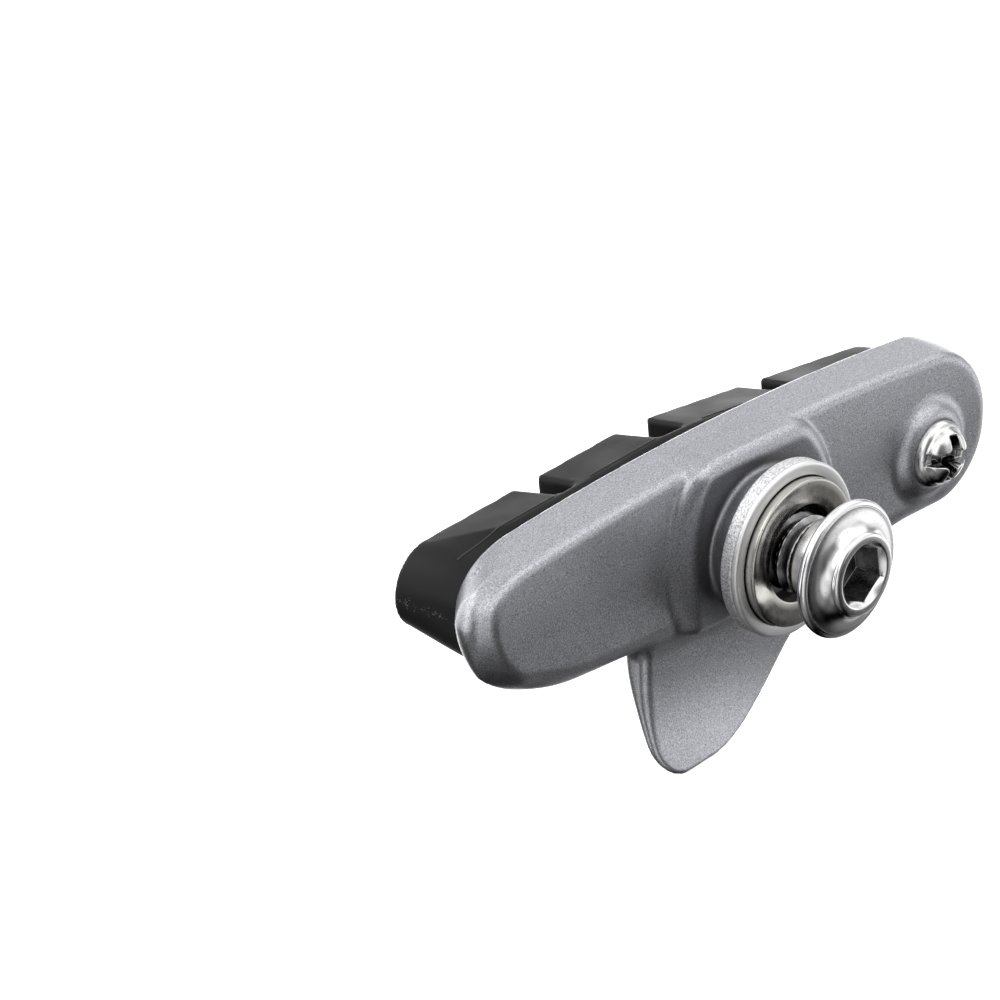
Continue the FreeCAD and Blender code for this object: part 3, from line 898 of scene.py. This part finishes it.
# %% Thread
def thread_tree():
    """Rolls a grid into a threaded bar: pitch, depth, radius and length are inputs."""
    number = "NodeSocketFloat"
    tree, group = new_geometry_tree("bolt_thread", [
        ("Radius", 3.0, number), ("Depth", 0.55, number), ("Pitch", 1.0, number),
        ("Start", 0.0, number), ("Length", 8.0, number), ("Material", None, "NodeSocketMaterial"),
    ])
    grid = add_node(tree, "GeometryNodeMeshGrid",
                    Size_X=1.0, Size_Y=1.0, Vertices_X=73, Vertices_Y=180)
    place = tree.nodes.new("GeometryNodeInputPosition").outputs[0]
    parts = add_node(tree, "ShaderNodeSeparateXYZ", Vector=place)
    turn = calculate(tree, "ADD", parts.outputs[0], 0.5)
    along = calculate(tree, "ADD", parts.outputs[1], 0.5)
    run = calculate(tree, "MULTIPLY", along, group.outputs["Length"])
    turns = calculate(tree, "DIVIDE", run, group.outputs["Pitch"])
    phase = calculate(tree, "SUBTRACT", turns, turn)
    wave = calculate(tree, "PINGPONG", phase, 0.5)
    crest = calculate(tree, "MULTIPLY", wave, 2.0)
    flat = calculate(tree, "MULTIPLY_ADD", crest, 1.3, -0.15, clamp=True)
    cut = calculate(tree, "MULTIPLY", flat, group.outputs["Depth"])
    radius = calculate(tree, "SUBTRACT", group.outputs["Radius"], cut)
    angle = calculate(tree, "MULTIPLY", turn, 2.0 * math.pi)
    side = calculate(tree, "MULTIPLY", radius, calculate(tree, "COSINE", angle))
    tall = calculate(tree, "MULTIPLY", radius, calculate(tree, "SINE", angle))
    deep = calculate(tree, "ADD", run, group.outputs["Start"])
    together = tree.nodes.new("ShaderNodeCombineXYZ")
    for socket, value in zip(together.inputs, (side, deep, tall)):
        link(tree, calculate(tree, "MULTIPLY", value, MM), socket)
    move = add_node(tree, "GeometryNodeSetPosition",
                    Geometry=grid.outputs["Mesh"], Position=together.outputs[0])
    merge = add_node(tree, "GeometryNodeMergeByDistance",
                     Geometry=move.outputs[0], Distance=0.001 * MM)
    finish_tree(tree, group, merge.outputs[0])
    return tree


thread_mesh = grow("bolt_thread", thread_tree(), {
    "Radius": THREAD_RADIUS, "Depth": 0.55, "Pitch": 1.0, "Start": THREAD_START,
    "Length": 7.6, "Material": MATERIALS["bolt_chrome"],
})
keep_piece("bolt_thread", thread_mesh, "mounting_bolt", "bolt_plating")

# %% [markdown]
# ## The small screw
# A domed head on a low rim, with a cross and a slot for either kind of driver. The cross is
# four tapering wings that meet in a cone, and the slot runs out through the dome. It is written
# as a rule like the casting, at a finer step.

# %% Small screw
SCREW_SEAT_Y = BACK_Y - 0.55
HEAD_RADIUS = 2.62
HEAD_TALL = 2.35
DOME_RADIUS = 2.9
SLOT_DEPTH = 1.35
CROSS_TURN = math.radians(9.0)


def small_screw(x, y, z):
    """Domed head, shank, cross and slot."""
    radius = np.hypot(x - SCREW_X, z - SCREW_Z)
    front = SCREW_SEAT_Y - HEAD_TALL
    dome = np.hypot(radius, y - front - DOME_RADIUS) - DOME_RADIUS
    tier = round_both(front + 1.1 - y + 0.1 * radius, radius - HEAD_RADIUS, 0.6)
    head = round_either(tier, round_both(dome, radius - 2.3, 0.5), 0.12)
    head = round_both(head, y - SCREW_SEAT_Y, 0.1)
    shank = np.maximum(np.maximum(radius - 1.5, y - FLOOR_Y - 1.1), SCREW_SEAT_Y - 0.5 - y)
    body = np.minimum(head, shank)
    depth = y - front
    turned_x = (x - SCREW_X) * math.cos(CROSS_TURN) - (z - SCREW_Z) * math.sin(CROSS_TURN)
    turned_z = (x - SCREW_X) * math.sin(CROSS_TURN) + (z - SCREW_Z) * math.cos(CROSS_TURN)
    recess = np.full_like(x, 9.0)
    for along, across in ((turned_x, turned_z), (turned_z, turned_x)):
        wide = np.abs(across) - (0.54 - 0.1 * depth)
        long = (np.abs(along) - (2.15 - 0.5 * depth)) * 0.89
        recess = np.minimum(recess, round_both(wide, long, 0.12))
    core = (radius - (1.05 - 0.35 * depth)) * 0.94
    recess = round_either(recess, core, 0.15)
    recess = np.maximum(recess, depth - 1.8)
    slot = np.maximum(np.abs(turned_z) - 0.46, depth - SLOT_DEPTH)
    recess = np.minimum(recess, np.maximum(slot, 0.3 - radius))
    return round_both(body, -recess, 0.09)


SCREW_STEP = 0.075
low = (SCREW_X - 2.9, SCREW_SEAT_Y - HEAD_TALL - 0.3, SCREW_Z - 2.9)
high = (SCREW_X + 2.9, FLOOR_Y + 1.4, SCREW_Z + 2.9)
points, quads = skin(small_screw, low, high, SCREW_STEP)
add_piece("small_screw", points, quads, "pad_fixing_screw", "screw_plating")

# %% [markdown]
# ## The rubber insert
# Four blocks stand on a strip. Each block is a little wider at its foot than at the face,
# because the rubber has to leave its mould, and the slots between them lean along the rim.
# Its moulded edges are slightly round; the face is ground flat.

# %% Rubber insert
FACE_CREST = 6.17
FACE_LEFT_DROP = 0.064
FACE_RIGHT_DROP = 0.0925
FLARE_Y = 10.9
SIDE_FLARE = 0.95
SLOTS = ((-12.4, 2.3), (-0.8, 3.2), (12.5, 2.2))
SLOT_FLOOR_Y = ARM_TO_RIM_FACE - 4.1
SLOT_LEAN = math.tan(math.radians(6.0))
SLOT_FLOOR_RADIUS = 0.45
SLOT_EDGE_RADIUS = 0.4


def face_walls(x, z, growth):
    """Outline of the rubber's face, grown by a margin."""
    left_run = (z - FACE_CREST - FACE_LEFT_DROP * (x + 1.0)) - growth
    right_run = (z - FACE_CREST + FACE_RIGHT_DROP * (x + 1.0)) - growth
    top = round_both(left_run, right_run, 0.5)
    bottom = -2.45 + 0.0012 * (x - 0.7) ** 2 - 0.3 * growth - z
    return outline(top, x - INSERT_RIGHT, bottom, INSERT_LEFT - x, (4.2, 2.4, 2.6, 3.2))


def insert(x, y, z):
    """The moulded rubber."""
    growth = SIDE_FLARE * np.clip((ARM_TO_RIM_FACE - y) / (ARM_TO_RIM_FACE - FLARE_Y), -0.3, 1.0)
    nose = ramp(-x, 19.0, 25.0)
    neck_start = FLARE_Y + nose * (ARM_TO_RIM_FACE - 0.4 - FLARE_Y)
    wide = face_walls(x, z, growth)
    neck = channel_outline(x, z, -0.12, INSERT_RIGHT)
    share = np.clip((neck_start - y) / (neck_start - RIM_Y), 0.0, 1.0)
    sides = wide + share * (neck - wide)
    tongue_depth = np.maximum(FLOOR_Y + 0.12 - y, y - FLOOR_Y - 1.08)
    tongue = np.maximum(channel_outline(x, z, 0.38, INSERT_RIGHT), tongue_depth)
    body = round_both(sides, y - GROUND_Y, 0.12)
    body = np.maximum(body, FLOOR_Y + 0.12 - y)
    body = np.minimum(body, tongue)
    for place, width in SLOTS:
        leaned = x - place + SLOT_LEAN * (z - 1.7)
        half = width / 2.0 - 0.25 + 0.25 * np.clip((y - SLOT_FLOOR_Y) / 4.1, 0.0, 1.2)
        slot = round_both(np.abs(leaned) - half, SLOT_FLOOR_Y - y, SLOT_FLOOR_RADIUS)
        body = round_both(body, -slot, SLOT_EDGE_RADIUS)
    hole = np.maximum(np.hypot(x - SCREW_X, z - SCREW_Z) - 1.75, y - FLOOR_Y - 1.5)
    return np.maximum(body, -hole)


INSERT_STEP = 0.22
rubber_points, rubber_quads = skin(insert, (-27.6, 6.9, -4.4), (29.4, 16.2, 8.0), INSERT_STEP)
add_piece("rubber_insert", rubber_points, rubber_quads, "brake_pad", "pad_rubber")

# %% [markdown]
# ## Marks of moulding and grinding
# The mould leaves a thin bead along the foot of each block and a seam of crumbs round the
# closed end, where its halves met. Grinding the face flat leaves torn fibres on it. Beads run
# along lines that are found on the skin, and Geometry Nodes strews fibres and crumbs.

# %% Lines on the rubber
BEAD_Y = 11.4
SEAM_Z = 1.15
BEAD_RUNS = ((-24.6, -14.4), (-10.4, -3.2), (2.0, 10.8), (14.4, 23.6))


def highest(x, y):
    """Height of the rubber's top at a place, found by halving."""
    low = np.full_like(x, 1.0)
    high = np.full_like(x, 8.5)
    for turn in range(30):
        middle = (low + high) / 2.0
        solid = insert(x, np.full_like(x, y), middle) < 0.0
        low = np.where(solid, middle, low)
        high = np.where(solid, high, middle)
    return middle


def line_mesh(name, lines):
    """A mesh of open lines, each a list of points in millimetres."""
    points = []
    edges = []
    for line in lines:
        first = len(points)
        points.extend(line)
        edges.extend((first + i, first + i + 1) for i in range(len(line) - 1))
    mesh = bpy.data.meshes.new(name)
    mesh.from_pydata((np.asarray(points) * MM).tolist(), edges, [])
    return mesh


bead_lines = []
for start, end in BEAD_RUNS:
    run = np.linspace(start, end, 30)
    level = np.full_like(run, BEAD_Y)
    bead_lines.append(np.stack([run, level, highest(run, BEAD_Y)], axis=1).tolist())
print("bead lines", len(bead_lines))

# %% Bead along lines
def bead_tree():
    """Turns lines into thin round beads: the bead's radius is an input, in millimetres."""
    tree, group = new_geometry_tree("bead", [
        ("Radius mm", 0.08, "NodeSocketFloat"), ("Material", None, "NodeSocketMaterial"),
    ])
    line = add_node(tree, "GeometryNodeMeshToCurve", Mesh=group.outputs["Geometry"])
    radius = calculate(tree, "MULTIPLY", group.outputs["Radius mm"], MM)
    circle = add_node(tree, "GeometryNodeCurvePrimitiveCircle", Resolution=8, Radius=radius)
    sweep = add_node(tree, "GeometryNodeCurveToMesh", Curve=line.outputs[0],
                     Profile_Curve=circle.outputs[0], Fill_Caps=True)
    finish_tree(tree, group, sweep.outputs[0])
    return tree


BEAD = bead_tree()
bead_mesh = grow("foot_beads", BEAD, {
    "Radius mm": 0.07, "Material": MATERIALS["bead_rubber_painted_highlight"],
}, line_mesh("foot_lines", bead_lines))
keep_piece("foot_beads", bead_mesh, "brake_pad", "pad_rubber")

# %% Scatter torn fibres and crumbs
def scatter_tree():
    """Strews bent fibres over faces: density, length, thickness and seed are inputs."""
    number = "NodeSocketFloat"
    tree, group = new_geometry_tree("torn_fibres", [
        ("Per square mm", 2.0, number), ("Length mm", 0.4, number),
        ("Thickness mm", 0.015, number), ("Lift mm", 0.0, number),
        ("Seed", 7, "NodeSocketInt"), ("Material", None, "NodeSocketMaterial"),
    ])
    density = calculate(tree, "MULTIPLY", group.outputs["Per square mm"], 1.0 / MM ** 2)
    spread = add_node(tree, "GeometryNodeDistributePointsOnFaces",
                      Mesh=group.outputs["Geometry"], Density=density, Seed=group.outputs["Seed"])
    arch = add_node(tree, "GeometryNodeCurveQuadraticBezier", Resolution=4,
                    Start=(-0.5, 0.0, 0.0), Middle=(0.1, 0.35, 0.0), End=(0.5, 0.0, 0.0))
    length = calculate(tree, "MULTIPLY", group.outputs["Length mm"], MM)
    scale = add_node(tree, "ShaderNodeCombineXYZ", X=length, Y=length, Z=length)
    size = add_node(tree, "GeometryNodeTransform",
                    Geometry=arch.outputs[0], Scale=scale.outputs[0])
    thickness = calculate(tree, "MULTIPLY", group.outputs["Thickness mm"], MM)
    ring = add_node(tree, "GeometryNodeCurvePrimitiveCircle", Resolution=3, Radius=thickness)
    fibre = add_node(tree, "GeometryNodeCurveToMesh",
                     Curve=size.outputs[0], Profile_Curve=ring.outputs[0])
    turn = tree.nodes.new("FunctionNodeRandomValue")
    turn.data_type = "FLOAT_VECTOR"
    feed_all(tree, turn, Min=(0.0, 0.0, 0.0), Max=(0.0, 0.0, 2.0 * math.pi))
    flat = add_node(tree, "FunctionNodeRotateEuler",
                    Rotation=spread.outputs["Rotation"], Rotate_By=turn.outputs["Value"])
    flat.space = "LOCAL"
    grade = tree.nodes.new("FunctionNodeRandomValue")
    grade.data_type = "FLOAT"
    feed_all(tree, grade, Min=0.2, Max=1.0, Seed=group.outputs["Seed"])
    up = tree.nodes.new("ShaderNodeVectorMath")
    up.operation = "SCALE"
    link(tree, spread.outputs["Normal"], up.inputs[0])
    link(tree, calculate(tree, "MULTIPLY", group.outputs["Lift mm"], MM), up.inputs["Scale"])
    lift = add_node(tree, "GeometryNodeSetPosition",
                    Geometry=spread.outputs["Points"], Offset=up.outputs[0])
    strew = add_node(tree, "GeometryNodeInstanceOnPoints", Points=lift.outputs[0],
                     Instance=fibre.outputs[0], Rotation=flat.outputs[0],
                     Scale=next(o for o in grade.outputs if o.enabled))
    finish_tree(tree, group, strew.outputs[0])
    return tree


def part_of_rubber(name, keep):
    """A mesh of the rubber's quads whose points are all kept."""
    chosen = rubber_quads[keep[rubber_quads].all(axis=1)]
    used, order = np.unique(chosen, return_inverse=True)
    mesh = bpy.data.meshes.new(name)
    mesh.from_pydata((rubber_points[used] * MM).tolist(), [], order.reshape(-1, 4).tolist())
    return mesh


FIBRES = scatter_tree()
ground = part_of_rubber("ground_face", rubber_points[:, 1] > GROUND_Y - 0.02)
fibre_mesh = grow("face_fibres", FIBRES, {
    "Per square mm": 2.6, "Length mm": 0.5, "Thickness mm": 0.014, "Lift mm": 0.01,
    "Seed": 11, "Material": MATERIALS["torn_fibre"],
}, ground)
keep_piece("face_fibres", fibre_mesh, "brake_pad", "pad_rubber")
along, outwards, height = rubber_points.T
seam = (along < -26.0) & (np.abs(height - SEAM_Z) < 0.5) & (outwards > 9.8)
seam_mesh = grow("seam_crumbs", FIBRES, {
    "Per square mm": 9.0, "Length mm": 0.28, "Thickness mm": 0.018, "Lift mm": 0.01,
    "Seed": 5, "Material": MATERIALS["torn_fibre"],
}, part_of_rubber("seam_face", seam))
keep_piece("seam_crumbs", seam_mesh, "brake_pad", "pad_rubber")

# %% [markdown]
# ## Finish and ride
# Each piece gets its finish and the CAD node it stands for is hidden. A row with no joints has
# one body, so every piece rides on it.

# %% Assign
FINISH_OF = {
    "holder_casting": "holder_coat",
    "boss_ring": "bare_aluminium",
    "washer": "washer_nickel",
    "bolt_head": "bolt_chrome",
    "bolt_thread": "bolt_chrome",
    "small_screw": "screw_chrome",
    "rubber_insert": "pad_rubber",
    "foot_beads": "bead_rubber_painted_highlight",
    "face_fibres": "torn_fibre",
    "seam_crumbs": "torn_fibre",
}
for name, (piece, node, slot) in PIECES.items():
    piece.data.materials.clear()
    piece.data.materials.append(MATERIALS[FINISH_OF[name]])
    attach(piece, "root")
    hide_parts(node)

# %% [markdown]
# ## Floor and studio light
# Product photographs of small metal parts are lit through white cloths, so that metal reflects
# broad pale shapes with soft edges. The part stands on a lit white table. The paper glows by
# itself and only the camera sees it, so there is no hard shadow and the cloths below still
# reach the part.

# %% Floor
FLOOR_Z = FIN_BOTTOM - 0.1


def build_floor():
    """A wide sheet of lit white paper, seen by the camera only."""
    half = 3.0
    mesh = bpy.data.meshes.new("floor")
    corners = [(-half, -half), (half, -half), (half, half), (-half, half)]
    mesh.from_pydata([(x, y, FLOOR_Z * MM) for x, y in corners], [], [(0, 1, 2, 3)])
    floor = bpy.data.objects.new("floor", mesh)
    bpy.context.scene.collection.objects.link(floor)
    material, tree, shader = new_material("floor_paper")
    place = tree.nodes.new("ShaderNodeTexCoord").outputs["Object"]
    grain = add_node(tree, "ShaderNodeTexNoise", Vector=place, Scale=40.0)
    colour = mix_colour(tree, grain.outputs[0], (0.9, 0.9, 0.9), (0.93, 0.93, 0.93))
    feed_all(tree, shader, Base_Color=colour, Roughness=0.9,
             Emission_Color=(1.0, 1.0, 1.0, 1.0), Emission_Strength=0.8)
    mesh.materials.append(material)
    floor.visible_glossy = False
    floor.visible_diffuse = False
    floor.visible_shadow = False


build_floor()

# %% [markdown]
# ## Soft light from all sides
# The cloths are painted on the room by direction, given towards the cloth. Each is a soft
# round glow: full in its middle, gone 32 degrees away from it. They are strongest behind the
# part, weaker above and on both sides, and almost absent low in front. The darker gaps
# between them draw the edges of the metal.

# %% Room
CLOTH_FULL = math.radians(4.0)
CLOTH_END = math.radians(32.0)
CLOTHS = (
    ((0.52, 0.76, -0.39), 2.00),
    ((0.80, 0.57, -0.20), 1.93),
    ((-0.89, 0.46, -0.04), 1.65),
    ((0.38, 0.92, -0.08), 1.44),
    ((-0.18, 0.98, 0.04), 1.31),
    ((-0.43, 0.62, 0.65), 1.23),
    ((0.72, -0.16, 0.68), 1.22),
    ((-0.62, -0.36, 0.70), 1.16),
    ((0.28, -0.60, 0.75), 1.02),
    ((0.03, -0.34, 0.94), 1.00),
    ((0.95, -0.29, -0.13), 1.00),
    ((-0.73, 0.51, 0.46), 0.93),
    ((0.61, 0.51, 0.61), 0.68),
    ((-0.67, -0.68, -0.30), 0.67),
    ((-0.14, 0.52, 0.85), 0.63),
    ((-0.04, 0.84, 0.54), 0.63),
    ((0.24, 0.32, 0.92), 0.60),
    ((0.52, -0.81, 0.25), 0.58),
    ((-0.77, -0.60, 0.20), 0.57),
    ((-0.59, 0.24, 0.77), 0.56),
    ((0.80, -0.60, 0.06), 0.48),
    ((-0.55, -0.66, 0.51), 0.37),
    ((0.79, 0.34, -0.51), 0.36),
    ((-0.26, -0.51, 0.82), 0.28),
    ((-0.20, 0.18, 0.96), 0.23),
    ((0.86, 0.12, 0.49), 0.22),
    ((-0.36, -0.79, -0.49), 0.19),
    ((0.77, -0.13, -0.63), 0.19),
    ((-0.69, -0.01, -0.73), 0.17),
    ((0.85, 0.44, 0.30), 0.17),
    ((0.20, 0.79, -0.58), 0.15),
    ((0.20, -0.88, 0.44), 0.13),
    ((0.57, 0.21, 0.80), 0.11),
    ((0.00, -0.99, 0.13), 0.10),
    ((-0.36, -0.48, -0.80), 0.08),
    ((0.13, -0.92, -0.37), 0.07),
    ((-0.37, -0.14, -0.92), 0.05),
)

world = bpy.data.worlds.new("studio")
bpy.context.scene.world = world
world.use_nodes = True
room = world.node_tree
background = next(n for n in room.nodes if n.type == "BACKGROUND")
direction = room.nodes.new("ShaderNodeTexCoord").outputs["Generated"]


def glow(towards, strength):
    """A soft round light on the room, strongest in one direction."""
    dot = room.nodes.new("ShaderNodeVectorMath")
    dot.operation = "DOT_PRODUCT"
    link(room, direction, dot.inputs[0])
    dot.inputs[1].default_value = Vector(towards).normalized()
    edge = add_node(room, "ShaderNodeMapRange", Value=dot.outputs["Value"],
                    From_Min=math.cos(CLOTH_END), From_Max=math.cos(CLOTH_FULL), To_Max=strength)
    edge.interpolation_type = "SMOOTHERSTEP"
    return edge.outputs[0]


total = None
for towards, strength in CLOTHS:
    cloth = glow(towards, strength)
    total = cloth if total is None else calculate(room, "ADD", total, cloth)
link(room, total, background.inputs["Strength"])
background.inputs["Color"].default_value = (1.0, 1.0, 1.0, 1.0)
bpy.context.scene.view_settings.view_transform = "Standard"
bpy.context.scene.view_settings.exposure = 0.0
print("cloths", len(CLOTHS))
